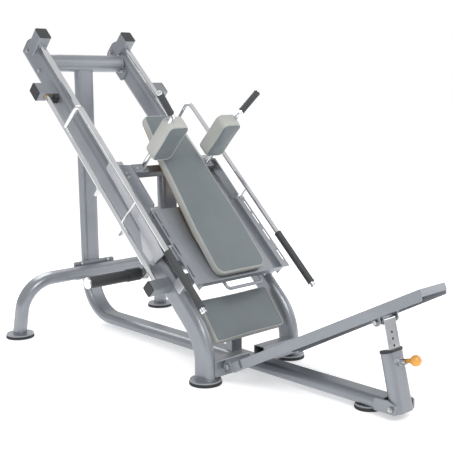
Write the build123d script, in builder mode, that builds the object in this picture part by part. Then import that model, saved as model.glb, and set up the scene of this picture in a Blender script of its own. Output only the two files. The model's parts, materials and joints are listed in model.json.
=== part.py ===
from build123d import *
import os
from math import atan2, cos, degrees, radians, sin

os.makedirs("parts", exist_ok=True)

# Driving dimensions, in millimetres and degrees. X is across the machine, -Y is its front, Z is up.
rail_angle = 44.3            # slope of the rails and of everything that runs on them
rail_offset = 934            # distance of the rail centreline from the slope's datum line
datum_y = 964                # where the slope's datum line meets the floor
rail_x = 250                 # half the distance between the rails
tube_wide, tube_thin = 100, 50
tube_wall = 3
rail_top = -1050             # upper end of the rails, measured down the slope
leg_y = -191
leg_bend = 220
post_y = 980
spine_z = 45
spine_front = -921
spine_bend = 200
crossbar_z = 1322
crossbar_r = 42
plate = 8                    # thickness of the bolted and hinge plates
pad_height = 14              # rubber feet
floor_plate = 6              # steel discs that the feet carry
rod_r = 12.5                 # guide rods
rod_offset = 1012
housing_low, housing_high = 988, 1042
housing_top, housing_bottom = -185, 290
horn_s, horn_t, horn_r = 272, 833, 24.75
horn_core_r = 23
horn_flange_r = 27.25
horn_end = 553
lever_x, lever_t, lever_r = 330, 948, 12
handle_x, handle_t = 322, 1097
hinge_y, hinge_z = -271, 75
plate_angle = 27.3
plate_length = 928
plate_base, plate_tip = 200, 75
strut_y, strut_z = -974, 47
strut_top_p, strut_top_q = 686, -42
running = 0.05               # radial clearance of a shaft that turns or slides

slope = radians(rail_angle)
down = Vector(0, -cos(slope), -sin(slope))
out = Vector(0, -sin(slope), cos(slope))


def on_rail(x, s, t):
    """Point s down the slope and t out of it."""
    return Vector(x, datum_y, 0) + down * s + out * t


def side_of_rail(x):
    """Plane with (s, t) coordinates that extrudes towards -X."""
    return Plane(on_rail(x, 0, 0), x_dir=down, z_dir=(-1, 0, 0))


def across_rail(s):
    """Plane with (x, t) coordinates that extrudes down the slope."""
    return Plane(on_rail(0, s, 0), x_dir=(1, 0, 0), z_dir=down)


def facing_rail(t):
    """Plane with (x, -s) coordinates that extrudes out of the slope."""
    return Plane(on_rail(0, 0, t), x_dir=(1, 0, 0), z_dir=out)


def hex_bolt(head_plane, grip, radius):
    """Bolt with its head on head_plane and its nut a grip below."""
    with BuildPart() as bolt:
        with BuildSketch(head_plane):
            RegularPolygon(radius * 1.75, 6)
        extrude(amount=radius * 1.2)
        with BuildSketch(head_plane):
            Circle(radius)
        extrude(amount=-grip - radius * 2.6)
        with BuildSketch(head_plane.offset(-grip)):
            RegularPolygon(radius * 1.75, 6)
        extrude(amount=-radius * 1.5)
    return bolt.part


def cap_screw(head_plane, length, radius):
    """Round-headed socket screw standing on head_plane."""
    with BuildPart() as screw:
        with BuildSketch(head_plane):
            Circle(radius * 1.6)
        extrude(amount=radius)
        with BuildSketch(head_plane.offset(radius)):
            RegularPolygon(radius * 0.8, 6)
        extrude(amount=-radius * 0.6, mode=Mode.SUBTRACT)
        with BuildSketch(head_plane):
            Circle(radius)
        extrude(amount=-length)
    return screw.part


# ---- Frame ----
side = Plane.YZ

with BuildPart() as spine:
    with BuildLine(side) as spine_path:
        FilletPolyline((post_y, crossbar_z), (post_y, spine_z), (spine_front, spine_z), radius=spine_bend)
    with BuildSketch(Plane((0, post_y, crossbar_z), x_dir=(1, 0, 0), z_dir=(0, 0, -1))):
        SlotOverall(tube_wide, tube_thin)
        SlotOverall(tube_wide - 2 * tube_wall, tube_thin - 2 * tube_wall, mode=Mode.SUBTRACT)
    sweep()
    with BuildSketch(Plane.YZ):
        with Locations((post_y, crossbar_z)):
            Circle(crossbar_r)
    extrude(amount=tube_wide, both=True, mode=Mode.SUBTRACT)
    post_front = post_y - tube_thin / 2
    with BuildSketch(Plane.XZ.offset(-post_front)):
        with Locations((0, 279)):
            RectangleRounded(240, 92, 8)
            with GridLocations(160, 74, 2, 2):
                Circle(5.3, mode=Mode.SUBTRACT)
    extrude(amount=6)
    with BuildSketch(Plane.XY.offset(pad_height)):
        with Locations((0, -827)):
            Circle(50)
    extrude(amount=floor_plate)

with BuildPart() as top_crossbar:
    with BuildSketch(Plane.YZ):
        with Locations((post_y, crossbar_z)):
            Circle(crossbar_r)
            Circle(crossbar_r - tube_wall, mode=Mode.SUBTRACT)
    extrude(amount=rail_x - 25 - plate, both=True)
    with BuildSketch(side_of_rail(rail_x - 25)):
        with Locations((-949, rail_offset - 16)):
            RectangleRounded(184, 64, 12)
        with Locations((-949 - 69, rail_offset), (-949 + 69, rail_offset)):
            Circle(6.3, mode=Mode.SUBTRACT)
    extrude(amount=plate)
    with BuildSketch(side_of_rail(-rail_x + 25 + plate)):
        with Locations((-949, rail_offset - 16)):
            RectangleRounded(184, 64, 12)
        with Locations((-949 - 69, rail_offset), (-949 + 69, rail_offset)):
            Circle(6.3, mode=Mode.SUBTRACT)
    extrude(amount=plate)

rail_start = on_rail(rail_x, rail_top, rail_offset)
corner_s = (datum_y - rail_offset * sin(slope) - leg_y) / cos(slope)
rail_corner = on_rail(rail_x, corner_s, rail_offset)

with BuildPart() as rail_right:
    with BuildLine() as rail_path:
        FilletPolyline(rail_start, rail_corner, (rail_x, leg_y, pad_height + floor_plate), radius=leg_bend)
    with BuildSketch(Plane(rail_start, x_dir=out, z_dir=down)):
        SlotOverall(tube_wide, tube_thin)
        SlotOverall(tube_wide - 2 * tube_wall, tube_thin - 2 * tube_wall, mode=Mode.SUBTRACT)
    sweep()
    with BuildSketch(Plane.XY.offset(pad_height)):
        with Locations((rail_x, leg_y - 3)):
            Circle(65)
    extrude(amount=floor_plate)
    with BuildSketch(side_of_rail(rail_x + 30)):
        with Locations((-949 - 69, rail_offset), (-949 + 69, rail_offset)):
            Circle(6.3)
    extrude(amount=60, mode=Mode.SUBTRACT)

with BuildPart() as rail_left:
    mirror(rail_right.part, about=Plane.YZ)

arch_y, arch_z = 908, 279
arch_lean = Plane((0, arch_y, arch_z), x_dir=(1, 0, 0), z_dir=(0, -0.9786, -0.2056))

with BuildPart() as rear_stabilizer:
    with BuildLine(arch_lean) as arch_path:
        FilletPolyline((-438, -276), (-428, 0), (428, 0), (438, -276), radius=150)
    with BuildSketch(Plane(arch_path.line @ 0, x_dir=arch_lean.z_dir, z_dir=arch_path.line % 0)):
        SlotOverall(76, 55)
        SlotOverall(70, 49, mode=Mode.SUBTRACT)
    sweep()
    split(bisect_by=Plane.XY.offset(pad_height + floor_plate), keep=Keep.TOP)
    with BuildSketch(Plane.XZ.offset(-post_front + 6)):
        with Locations((0, arch_z)):
            RectangleRounded(240, 92, 8)
            with GridLocations(160, 74, 2, 2):
                Circle(5.3, mode=Mode.SUBTRACT)
    extrude(amount=6)
    with BuildSketch(Plane.XY.offset(pad_height)):
        with Locations((-437, 960), (437, 960)):
            Circle(65)
    extrude(amount=floor_plate)

foot_places = [(-437, 960, 67.5), (437, 960, 67.5), (0, -827, 52.5),
               (-rail_x, leg_y - 3, 67.5), (rail_x, leg_y - 3, 67.5)]

with BuildPart() as rubber_feet:
    for foot_x, foot_y, foot_r in foot_places:
        with BuildSketch(Plane.XY) as foot_base:
            with Locations((foot_x, foot_y)):
                Circle(foot_r)
        with BuildSketch(Plane.XY.offset(pad_height)) as foot_top:
            with Locations((foot_x, foot_y)):
                Circle(foot_r - 3)
        loft()

with BuildPart() as guide_rod_right:
    with BuildSketch(across_rail(-1000)):
        with Locations((rail_x, rod_offset)):
            Circle(rod_r)
    extrude(amount=1470)
    chamfer(guide_rod_right.edges(), 1)

with BuildPart() as guide_rod_left:
    mirror(guide_rod_right.part, about=Plane.YZ)

with BuildPart() as rail_envelope:
    with BuildSketch(across_rail(rail_top)):
        with Locations((rail_x, rail_offset)):
            SlotOverall(tube_wide, tube_thin, rotation=90)
    extrude(amount=1600)

with BuildPart() as guide_stubs:
    with BuildSketch(facing_rail(950)):
        with Locations((rail_x, 997.5)):
            RectangleRounded(60, 65, 5)
            RectangleRounded(54, 59, 3, mode=Mode.SUBTRACT)
    extrude(amount=112)
    add(rail_envelope.part, mode=Mode.SUBTRACT)
    with BuildSketch(across_rail(-1000)):
        with Locations((rail_x, rod_offset)):
            Circle(rod_r)
    extrude(amount=60, mode=Mode.SUBTRACT)
    mirror(about=Plane.YZ)

with BuildPart() as guide_blocks:
    with BuildSketch(facing_rail(973)):
        with Locations((rail_x, -462.5)):
            RectangleRounded(50, 55, 4)
    extrude(amount=63)
    add(rail_envelope.part, mode=Mode.SUBTRACT)
    with BuildSketch(across_rail(400)):
        with Locations((rail_x, rod_offset)):
            Circle(rod_r)
    extrude(amount=70, mode=Mode.SUBTRACT)
    mirror(about=Plane.YZ)

with BuildPart() as carriage_bumpers:
    with BuildSketch(across_rail(housing_bottom + 0.4)):
        with Locations((rail_x, rod_offset)):
            Circle(21)
            Circle(rod_r, mode=Mode.SUBTRACT)
    extrude(amount=44)
    fillet(carriage_bumpers.edges().filter_by(GeomType.CIRCLE).group_by(SortBy.RADIUS)[-1], 6)
    mirror(about=Plane.YZ)


def lever_bracket(s_low, s_high, t_low, t_high, reach, bush_s):
    """Square stub across the rail side, bored for the bush of the lever's shaft."""
    with BuildPart() as stub:
        with BuildSketch(Plane(on_rail(rail_x + 5, 0, 0), x_dir=down, z_dir=(1, 0, 0))):
            with Locations(((s_low + s_high) / 2, -(t_low + t_high) / 2)):
                RectangleRounded(s_high - s_low, t_high - t_low, 5)
                RectangleRounded(s_high - s_low - 6, t_high - t_low - 6, 3, mode=Mode.SUBTRACT)
        extrude(amount=reach - rail_x - 5)
        add(rail_envelope.part, mode=Mode.SUBTRACT)
        with BuildSketch(across_rail(bush_s)):
            with Locations((lever_x, lever_t)):
                Circle(17)
        extrude(amount=18, mode=Mode.SUBTRACT)
    return stub.part


with BuildPart() as upper_lever_brackets:
    add(lever_bracket(-760, -690, 920, 972, 375, -706))
    mirror(about=Plane.YZ)

with BuildPart() as lower_lever_brackets:
    add(lever_bracket(397, 447, 922, 972, 378, 394))
    mirror(about=Plane.YZ)

with BuildPart() as lever_bushes:
    for bush_s in (-706, 394):
        with BuildSketch(across_rail(bush_s)):
            with Locations((lever_x, lever_t)):
                Circle(17)
                Circle(lever_r + running, mode=Mode.SUBTRACT)
        extrude(amount=18)
    mirror(about=Plane.YZ)

with BuildPart() as lever_stops:
    with BuildSketch(side_of_rail(rail_x + 50)):
        with Locations((-679, 942)):
            RectangleRounded(20, 40, 4)
    extrude(amount=25)
    mirror(about=Plane.YZ)

with BuildPart() as tube_end_caps:
    with BuildSketch(across_rail(rail_top - 4)):
        with Locations((rail_x, rail_offset)):
            SlotOverall(tube_wide, tube_thin, rotation=90)
    extrude(amount=4)
    with BuildSketch(facing_rail(1062)):
        with Locations((rail_x, 997.5)):
            RectangleRounded(60, 65, 5)
    extrude(amount=5)
    with BuildSketch(side_of_rail(379)):
        with Locations((-725, 946)):
            RectangleRounded(70, 52, 5)
    extrude(amount=4)
    with BuildSketch(side_of_rail(382)):
        with Locations((422, 947)):
            RectangleRounded(50, 50, 5)
    extrude(amount=4)
    mirror(about=Plane.YZ)
    with BuildSketch(Plane.XZ.offset(-spine_front)):
        with Locations((0, spine_z)):
            SlotOverall(tube_wide, tube_thin)
    extrude(amount=4)

with BuildPart() as leg_braces:
    with BuildSketch(Plane.YZ.offset(42)):
        with Locations((-211, 63)):
            RectangleRounded(60, 70, 6)
            RectangleRounded(54, 64, 4, mode=Mode.SUBTRACT)
    extrude(amount=198)
    with BuildSketch(Plane.XY):
        with Locations((rail_x, leg_y)):
            SlotOverall(tube_wide, tube_thin, rotation=90)
    extrude(amount=120, mode=Mode.SUBTRACT)
    with BuildSketch(Plane.XZ):
        with Locations((0, spine_z)):
            SlotOverall(tube_wide, tube_thin)
    extrude(amount=400, mode=Mode.SUBTRACT)
    mirror(about=Plane.YZ)

brace_front = -241
ear_x = 181

with BuildPart() as plate_hinge_brackets:
    with BuildSketch(Plane.YZ.offset(ear_x)):
        with Locations((hinge_y, hinge_z)):
            Circle(18)
        with Locations(((hinge_y + brace_front) / 2, hinge_z)):
            Rectangle(brace_front - hinge_y, 36)
        with Locations((hinge_y, hinge_z)):
            Circle(8, mode=Mode.SUBTRACT)
    extrude(amount=plate)
    mirror(about=Plane.YZ)

with BuildPart() as plate_hinge_pins:
    with BuildSketch(Plane.YZ.offset(ear_x - 8)):
        with Locations((hinge_y, hinge_z)):
            Circle(8)
    extrude(amount=33)
    with BuildSketch(Plane.YZ.offset(ear_x + 21)):
        with Locations((hinge_y, hinge_z)):
            Circle(12.5)
    extrude(amount=6)
    fillet(plate_hinge_pins.edges().group_by(Axis.X)[-1], 2)
    with BuildSketch(Plane.YZ.offset(ear_x - 6)):
        with Locations((hinge_y, hinge_z)):
            Circle(12.5)
    extrude(amount=4)
    mirror(about=Plane.YZ)

with BuildPart() as strut_clevis:
    with BuildSketch(Plane.YZ.offset(51)):
        with BuildLine():
            Polyline((-991, 26), (-896, 26), (-896, 70), (-960, 74), (-991, 62), close=True)
        make_face()
        with Locations((strut_y, strut_z)):
            Circle(6, mode=Mode.SUBTRACT)
    extrude(amount=plate)
    with BuildSketch(Plane.YZ.offset(40)):
        with Locations((-908, 45)):
            Rectangle(24, 34)
    extrude(amount=12)
    with BuildSketch(Plane.XZ.offset(800)):
        with Locations((0, spine_z)):
            SlotOverall(tube_wide, tube_thin)
    extrude(amount=200, mode=Mode.SUBTRACT)
    mirror(about=Plane.YZ)

with BuildPart() as strut_lower_pin:
    add(hex_bolt(Plane.YZ.offset(51 + plate), 2 * (51 + plate), 6)
        .moved(Location((0, strut_y, strut_z))))

# The fixed lower pad lies between the rails, steeper than they are.
seat_normal = Vector(0, -0.7925, 0.610)
seat_face = Plane((0, -156.5, 243), x_dir=(1, 0, 0), z_dir=seat_normal)

with BuildPart() as seat_pad:
    with BuildSketch(seat_face):
        RectangleRounded(400, 192, 14)
    extrude(amount=-38)
    fillet(seat_pad.faces().sort_by(Axis((0, 0, 0), seat_normal))[-1].edges(), 10)

with BuildPart() as seat_board:
    with BuildSketch(seat_face.offset(-38)):
        RectangleRounded(384, 176, 10)
    extrude(amount=-12)

with BuildPart() as seat_bracket:
    with BuildSketch(Plane.XY.offset(spine_z + tube_thin / 2)):
        with Locations((0, -100)):
            RectangleRounded(60, 40, 4)
            RectangleRounded(54, 34, 3, mode=Mode.SUBTRACT)
    extrude(amount=260)
    split(bisect_by=seat_face.offset(-56), keep=Keep.BOTTOM)
    with BuildSketch(seat_face.offset(-50)):
        RectangleRounded(200, 110, 6)
    extrude(amount=-6)

with BuildPart() as frame_bolts:
    for bolt_s in (-949 - 69, -949 + 69):
        add(hex_bolt(Plane(on_rail(rail_x + 25, bolt_s, rail_offset), x_dir=down, z_dir=(1, 0, 0)),
                     50 + plate, 6))
    for bolt_z in (arch_z - 37, arch_z + 37):
        add(hex_bolt(Plane((80, post_front - 12, bolt_z), x_dir=(1, 0, 0), z_dir=(0, -1, 0)), 12, 5))
    mirror(about=Plane.YZ)

# ---- Carriage ----
with BuildPart() as bearing_housing_right:
    with BuildSketch(across_rail(housing_top)):
        with Locations((252.5, (housing_low + housing_high) / 2)):
            RectangleRounded(61, housing_high - housing_low, 6)
        with Locations((rail_x, rod_offset)):
            Circle(20, mode=Mode.SUBTRACT)
    extrude(amount=housing_bottom - housing_top)

with BuildPart() as bearing_housing_left:
    mirror(bearing_housing_right.part, about=Plane.YZ)

with BuildPart() as linear_bushes:
    for bush_s in (housing_top, housing_bottom - 60):
        with BuildSketch(across_rail(bush_s)):
            with Locations((rail_x, rod_offset)):
                Circle(20)
                Circle(rod_r + running, mode=Mode.SUBTRACT)
        extrude(amount=60)
    mirror(about=Plane.YZ)

with BuildPart() as catch_plate_right:
    with BuildSketch(side_of_rail(289)):
        with BuildLine():
            FilletPolyline((-190, 1040), (-190, 1002), (150, 986), (226, 930), (307, 937), (325, 1032),
                           (250, 1040), radius=8, close=True)
        make_face()
        with Locations((298, 950)):
            Circle(5, mode=Mode.SUBTRACT)
    extrude(amount=6)

with BuildPart() as catch_plate_left:
    mirror(catch_plate_right.part, about=Plane.YZ)

with BuildPart() as side_plates:
    with BuildSketch(side_of_rail(rail_x)):
        with BuildLine():
            Polyline((-165, housing_high), (-114, 1098), (110, 1095), (123, housing_high), close=True)
        make_face()
        with Locations((-103, 1060), (-78, 1060)):
            Circle(5, mode=Mode.SUBTRACT)
    extrude(amount=plate)
    mirror(about=Plane.YZ)

cross_low, cross_high = housing_high, 1080

with BuildPart() as carriage_crossbar:
    with BuildSketch(side_of_rail(242)):
        with Locations((-100, (cross_low + cross_high) / 2)):
            RectangleRounded(40, cross_high - cross_low, 5)
            RectangleRounded(34, cross_high - cross_low - 6, 3, mode=Mode.SUBTRACT)
    extrude(amount=484)
    with BuildSketch(side_of_rail(60)):
        with BuildLine():
            Polyline((-118, cross_high), (-118, 1107), (-82, 1104), (-82, cross_high), close=True)
        make_face()
    extrude(amount=30)
    with BuildSketch(side_of_rail(-30)):
        with BuildLine():
            Polyline((-118, cross_high), (-118, 1107), (-82, 1104), (-82, cross_high), close=True)
        make_face()
    extrude(amount=30)

horn_centre = on_rail(0, horn_s, horn_t)
hanger_y = 336

with BuildPart() as carriage_post:
    with BuildLine(side) as hanger_path:
        FilletPolyline((hanger_y, 838), (hanger_y, 560), (horn_centre.Y, horn_centre.Z), radius=120)
    with BuildSketch(Plane((0, hanger_y, 838), x_dir=(1, 0, 0), z_dir=(0, 0, -1))):
        SlotOverall(tube_wide, tube_thin)
        SlotOverall(tube_wide - 2 * tube_wall, tube_thin - 2 * tube_wall, mode=Mode.SUBTRACT)
    sweep()
    with BuildSketch(side_of_rail(100)):
        with Locations((-100, (cross_low + cross_high) / 2)):
            Rectangle(40, cross_high - cross_low)
        with Locations((horn_s, horn_t)):
            Circle(horn_core_r)
    extrude(amount=200, mode=Mode.SUBTRACT)

sleeve_start, sleeve_shoulder = 285, 350

with BuildPart() as horn_bar:
    with BuildSketch(side_of_rail(sleeve_start)):
        with Locations((horn_s, horn_t)):
            Circle(horn_core_r)
    extrude(amount=2 * sleeve_start)
    with BuildSketch(side_of_rail(horn_end - 8)):
        with Locations((horn_s, horn_t)):
            Circle(20)
    extrude(amount=2 * (horn_end - 8))

with BuildPart() as horn_sleeves:
    with BuildSketch(side_of_rail(horn_end - 8)):
        with Locations((horn_s, horn_t)):
            Circle(horn_r)
            Circle(20, mode=Mode.SUBTRACT)
    extrude(amount=horn_end - 8 - sleeve_start)
    with BuildSketch(side_of_rail(sleeve_shoulder)):
        with Locations((horn_s, horn_t)):
            Circle(horn_flange_r)
            Circle(20, mode=Mode.SUBTRACT)
    extrude(amount=sleeve_shoulder - sleeve_start)
    mirror(about=Plane.YZ)

with BuildPart() as horn_caps:
    with BuildSketch(side_of_rail(horn_end)):
        with Locations((horn_s, horn_t)):
            Circle(horn_r - 0.25)
    extrude(amount=8)
    fillet(horn_caps.edges().group_by(Axis.X)[-1], 3)
    mirror(about=Plane.YZ)

pan_top, pan_bottom = 118, 529
pan_floor, pan_rim = 1064, 1090
pan_sheet = 4

with BuildPart() as foot_pan:
    with BuildSketch(across_rail(pan_top)):
        with BuildLine():
            Polyline((-272, pan_rim), (-228, pan_rim), (-228, pan_floor + pan_sheet),
                     (228, pan_floor + pan_sheet), (228, pan_rim), (272, pan_rim),
                     (272, pan_rim - pan_sheet), (232, pan_rim - pan_sheet), (232, housing_high),
                     (228, housing_high), (228, pan_floor), (-228, pan_floor), (-228, housing_high),
                     (-232, housing_high), (-232, pan_rim - pan_sheet), (-272, pan_rim - pan_sheet),
                     close=True)
        make_face()
    extrude(amount=pan_bottom - pan_top)
    with BuildSketch(across_rail(pan_bottom - pan_sheet)):
        with Locations((0, (pan_floor + pan_rim) / 2)):
            Rectangle(464, pan_rim - pan_floor)
    extrude(amount=pan_sheet)
    with BuildSketch(facing_rail(pan_rim + 1)):
        with Locations(*[(x, -s) for s in (178, 252, 347, 461) for x in (-261, 261)]):
            SlotOverall(64, 11, rotation=90)
        with Locations(*[(x, -130) for x in (-265, -251, 251, 265)]):
            Circle(4)
    extrude(amount=-10, mode=Mode.SUBTRACT)

with BuildPart() as pan_handle:
    handle_plane = facing_rail(pan_floor - 7)
    with BuildLine(handle_plane) as handle_path:
        FilletPolyline((-100, -440), (-100, -560), (100, -560), (100, -440), radius=18)
    with BuildSketch(Plane(handle_path.line @ 0, x_dir=(1, 0, 0), z_dir=handle_path.line % 0)):
        Circle(7)
    sweep()

# The back pad leans about five degrees to the slope.
pad_start, pad_end = on_rail(0, -335, 1170), on_rail(0, 507, 1100)
pad_along = (pad_end - pad_start).normalized()
pad_normal = Vector(1, 0, 0).cross(pad_along)
pad_length = (pad_end - pad_start).length
pad_face = Plane(pad_start, x_dir=(1, 0, 0), z_dir=pad_normal * (-1 if pad_normal.Z < 0 else 1))
pad_thick, board_thick = 32, 12
board_end = 320              # the board stops where the pan carries the pad


def pad_outline(inset):
    """Back pad's outline on pad_face, narrow at the head and rounded at the seat."""
    with BuildSketch(pad_face) as outline:
        with BuildLine():
            Polyline((-82, 0), (82, 0), (114, -262), (137, -620), (137, -pad_length),
                     (-137, -pad_length), (-137, -620), (-114, -262), close=True)
        make_face()
        fillet(outline.vertices().sort_by(Axis.Y)[:2], 38)
        fillet(outline.vertices().sort_by(Axis.Y)[-2:], 20)
        if inset:
            offset(amount=-inset, mode=Mode.REPLACE)
    return outline.sketch


with BuildPart() as back_pad:
    extrude(pad_outline(0), amount=-pad_thick)
    fillet(back_pad.faces().sort_by(Axis((0, 0, 0), out))[-1].edges(), 8)

with BuildPart() as back_board:
    extrude(pad_outline(9).moved(Location(pad_face.z_dir * -pad_thick)), amount=-board_thick)
    split(bisect_by=across_rail(board_end), keep=Keep.BOTTOM)

post_x, post_s = 188, -97

with BuildPart() as shoulder_pad_right:
    with BuildSketch(across_rail(-126)):
        with Locations((152, 1277)):
            RectangleRounded(104, 204, 24)
    extrude(amount=66)
    chamfer(shoulder_pad_right.faces().sort_by(Axis((0, 0, 0), down))[-1].edges(), 3)
    with BuildSketch(facing_rail(1100)):
        with Locations((post_x, -post_s)):
            Circle(11.4)
    extrude(amount=400, mode=Mode.SUBTRACT)

with BuildPart() as shoulder_pad_left:
    mirror(shoulder_pad_right.part, about=Plane.YZ)

post_foot = on_rail(post_x, post_s, cross_high)
post_bend = on_rail(post_x, post_s, 1402)
grip_end = on_rail(279, -144, 1493)
grip_way = (grip_end - post_bend).normalized()

with BuildPart() as shoulder_post_right:
    with BuildLine() as post_path:
        FilletPolyline(post_foot, post_bend, grip_end, radius=24)
    with BuildSketch(Plane(post_foot, x_dir=(1, 0, 0), z_dir=out)):
        Circle(11)
        Circle(8.5, mode=Mode.SUBTRACT)
    sweep()
    with BuildSketch(Plane(grip_end, z_dir=grip_way)):
        Circle(13)
    extrude(amount=5)

with BuildPart() as shoulder_post_left:
    mirror(shoulder_post_right.part, about=Plane.YZ)

with BuildPart() as shoulder_grips:
    with BuildSketch(Plane(grip_end, z_dir=-grip_way)):
        Circle(15)
        Circle(11, mode=Mode.SUBTRACT)
    extrude(amount=116)
    mirror(about=Plane.YZ)

with BuildPart() as shoulder_brackets:
    with BuildSketch(facing_rail(cross_high)):
        with Locations((post_x + 4, 102)):
            RectangleRounded(72, 44, 4)
        with Locations((post_x, -post_s)):
            Circle(11, mode=Mode.SUBTRACT)
        with Locations((post_x - 22, 101), (post_x + 24, 101)):
            Circle(4, mode=Mode.SUBTRACT)
    extrude(amount=6)
    with BuildSketch(across_rail(-120)):
        with Locations((post_x + 4, cross_high - 8)):
            Rectangle(72, 28)
    extrude(amount=-6)
    mirror(about=Plane.YZ)

with BuildPart() as carriage_bolts:
    for bolt_x in (post_x - 22, post_x + 24):
        add(cap_screw(Plane(on_rail(bolt_x, -101, cross_high + 6), x_dir=(1, 0, 0), z_dir=out), 6, 4))
    for bolt_s in (-103, -78):
        add(cap_screw(Plane(on_rail(rail_x, bolt_s, 1060), x_dir=down, z_dir=(1, 0, 0)), 8, 5))
    for bolt_x in (251, 265):
        add(cap_screw(Plane(on_rail(bolt_x, 130, pan_rim), x_dir=(1, 0, 0), z_dir=out), 4, 4))
    add(cap_screw(Plane(on_rail(289, 298, 950), x_dir=down, z_dir=(1, 0, 0)), 6, 5))
    mirror(about=Plane.YZ)

# ---- Levers ----
arm_s, grip_start, grip_stop = -490, 354, 641

with BuildPart() as lever_right:
    with BuildSketch(across_rail(-704)):
        with Locations((lever_x, lever_t)):
            Circle(lever_r)
    extrude(amount=704 + 412)
    arm_foot = on_rail(lever_x, arm_s, lever_t)
    arm_bend = on_rail(handle_x, arm_s, handle_t)
    handle_end = on_rail(handle_x, grip_stop + 14, handle_t)
    with BuildLine():
        FilletPolyline(arm_foot, arm_bend, handle_end, radius=38)
    with BuildSketch(Plane(arm_foot, z_dir=(arm_bend - arm_foot).normalized())):
        Circle(11)
    sweep()
    brace_foot = on_rail(lever_x, 80, lever_t)
    brace_way = on_rail(handle_x, 80, handle_t) - brace_foot
    with BuildSketch(Plane(brace_foot, z_dir=brace_way.normalized())):
        Circle(5)
    extrude(amount=brace_way.length)
    for tab_s in (-120, 107, 341):
        with BuildSketch(across_rail(tab_s - 5)):
            with Locations((lever_x, lever_t - 22)):
                Rectangle(26, 44)
        extrude(amount=10)

with BuildPart() as lever_left:
    mirror(lever_right.part, about=Plane.YZ)

with BuildPart() as lever_grip_right:
    with BuildSketch(across_rail(grip_start)):
        with Locations((handle_x, handle_t)):
            Circle(16.5)
            Circle(11, mode=Mode.SUBTRACT)
    extrude(amount=grip_stop - grip_start)
    fillet(lever_grip_right.edges().filter_by(GeomType.CIRCLE).group_by(SortBy.RADIUS)[-1], 3)

with BuildPart() as lever_grip_left:
    mirror(lever_grip_right.part, about=Plane.YZ)

# ---- Foot plate, in its own (p, q) coordinates: p up the plate from the hinge, q out of its top ----
tilt = radians(plate_angle)
plate_along = Vector(0, -cos(tilt), sin(tilt))
plate_out = Vector(0, sin(tilt), cos(tilt))
hinge = Vector(0, hinge_y, hinge_z)


def on_plate(x, p, q):
    return hinge + Vector(x, 0, 0) + plate_along * p + plate_out * q


def plate_layer(q):
    """Plane with (x, -p) coordinates, extruding out of the plate's top."""
    return Plane(on_plate(0, 0, q), x_dir=(1, 0, 0), z_dir=plate_out)


def plate_side(x):
    """Plane with (p, q) coordinates, extruding towards -X."""
    return Plane(on_plate(x, 0, 0), x_dir=plate_along, z_dir=(-1, 0, 0))


sheet_top, sheet, flange_depth = 8, 4, 40
plate_front = 1100.94        # the tip is trimmed upright here
plate_foot = 24
foot_half = plate_base - (plate_base - plate_tip) * plate_foot / plate_length

with BuildPart() as foot_plate:
    with BuildSketch(plate_layer(sheet_top - flange_depth)):
        with BuildLine():
            Polyline((-foot_half, -plate_foot), (foot_half, -plate_foot), (plate_tip, -plate_length),
                     (-plate_tip, -plate_length), close=True)
        make_face()
    extrude(amount=flange_depth)
    with BuildSketch(plate_layer(sheet_top - flange_depth)):
        with BuildLine():
            Polyline((-foot_half + sheet, 0), (foot_half - sheet, 0),
                     (plate_tip - sheet, -plate_length + sheet),
                     (-plate_tip + sheet, -plate_length + sheet), close=True)
        make_face()
    extrude(amount=flange_depth - sheet, mode=Mode.SUBTRACT)
    split(bisect_by=Plane.XZ.offset(plate_front), keep=Keep.BOTTOM)
    for ear_outer in (plate_base, -plate_base + plate):
        with BuildSketch(plate_side(ear_outer)):
            Circle(24)
            with Locations((35, -8)):
                Rectangle(70, 32)
            Circle(8 + running, mode=Mode.SUBTRACT)
        extrude(amount=plate)
    with BuildSketch(plate_side(40)):
        with Locations((452, -8)):
            RectangleRounded(782, 24, 3)
            RectangleRounded(776, 18, 2, mode=Mode.SUBTRACT)
    extrude(amount=80)
    for lug_outer in (50 + plate, -50):
        with BuildSketch(plate_side(lug_outer)):
            with Locations((strut_top_p, strut_top_q)):
                Circle(16)
            with BuildLine():
                Polyline((strut_top_p - 36, sheet), (strut_top_p + 36, sheet),
                         (strut_top_p + 15, strut_top_q), (strut_top_p - 15, strut_top_q), close=True)
            make_face()
            with Locations((strut_top_p, strut_top_q)):
                Circle(8, mode=Mode.SUBTRACT)
        extrude(amount=plate)

with BuildPart() as plate_beam_cap:
    with BuildSketch(Plane(on_plate(0, 843, -8), x_dir=(1, 0, 0), z_dir=plate_along)):
        Rectangle(80, 24)
    extrude(amount=4)

strut_foot = Vector(0, strut_y, strut_z)
strut_head = on_plate(0, strut_top_p, strut_top_q)
strut_length = (strut_head - strut_foot).length
strut_up = (strut_head - strut_foot).normalized()
strut_front = Vector(0, -strut_up.Z, strut_up.Y)

with BuildPart() as strut_upper_pin:
    with BuildSketch(Plane(strut_head + Vector(66, 0, 0), x_dir=(0, 1, 0), z_dir=(-1, 0, 0))):
        Circle(8)
    extrude(amount=132)


# ---- Strut ----
def strut_section(k):
    """Plane square to the strut at k above its foot, with (x, front) coordinates."""
    return Plane(strut_foot + strut_up * k, x_dir=(1, 0, 0), z_dir=strut_up)


def strut_side(x):
    """Plane with (k, front) coordinates, extruding towards +X."""
    return Plane(strut_foot + Vector(x, 0, 0), x_dir=strut_up, z_dir=(1, 0, 0))


def strut_facing(k, h):
    """Plane facing the strut's front, h in front of its axis."""
    return Plane(strut_foot + strut_up * k + strut_front * h, x_dir=(1, 0, 0), z_dir=strut_front)


sleeve_top = 198
bar_wide, bar_thin = 68, 36
knob_k = 159

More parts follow.
